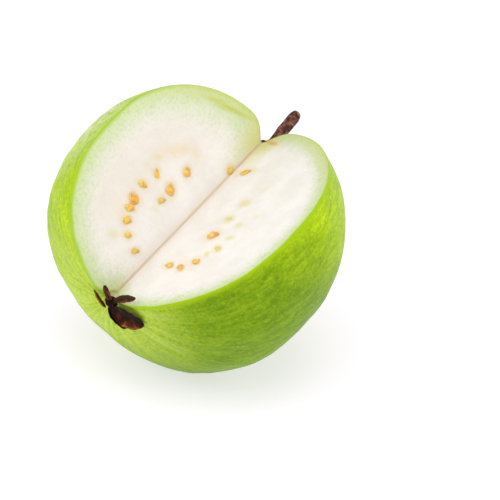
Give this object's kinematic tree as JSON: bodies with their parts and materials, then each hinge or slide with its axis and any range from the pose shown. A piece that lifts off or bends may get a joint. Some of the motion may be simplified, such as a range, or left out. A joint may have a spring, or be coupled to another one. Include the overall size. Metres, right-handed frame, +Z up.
{
  "type": "cut guava",
  "caption": "Green-skinned, white-fleshed guava with one quarter cut out lengthwise, its short woody stem and dried calyx still on, lying on its side on a small flat spot.",
  "frame": {"origin": "middle of the small flat spot that the fruit rests on, on the ground plane", "axes": "+Z up; -Y towards the side that shows both cut faces; the fruit's own axis, from calyx to stem, points to +X and +Y, 49 degrees from +X, and rises by 21.5 degrees"},
  "size_m": [0.0955, 0.0961, 0.0894],
  "materials": {
    "skin_and_flesh": "satin green skin with a fine mottle, moist off-white flesh on the cut faces, amber seeds",
    "stem_bark": "dry dark brown bark",
    "calyx_dry": "dried dark brown sepals"
  },
  "bodies": {
    "root": {"fruit": "skin_and_flesh", "stem": "stem_bark", "calyx": "calyx_dry"}
  },
  "joints": []
}
